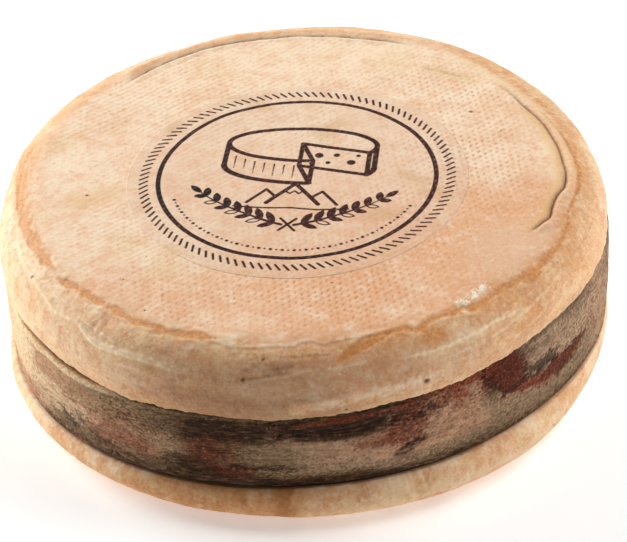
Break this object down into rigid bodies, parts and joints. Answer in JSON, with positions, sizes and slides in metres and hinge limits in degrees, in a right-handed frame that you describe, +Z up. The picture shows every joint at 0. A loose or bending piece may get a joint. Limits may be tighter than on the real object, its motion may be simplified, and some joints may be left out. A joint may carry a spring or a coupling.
{
  "type": "cheese wheel",
  "caption": "Whole soft washed-rind cheese wheel with swollen edges, bound round its side in a strip of spruce bark, with a thin round paper label on its top.",
  "frame": {"origin": "on the flat base, under the middle of the wheel's box", "axes": "+Z up through the wheel, from base to labelled top; -Y is the side that the label's print is read from; +X is to the reader's right"},
  "size_m": [0.2114, 0.2116, 0.0677],
  "materials": {
    "rind": "dry washed rind, cream to peach with orange-brown cracks and fine cloth imprint",
    "bark": "damp spruce bark strip, dark brown with grey-beige mould and reddish patches",
    "label": "thin paper stuck flat, printed in dark purplish brown"
  },
  "bodies": {
    "root": {"cheese_wheel": "rind", "spruce_bark_strap": "bark", "paper_label": "label"}
  },
  "joints": []
}
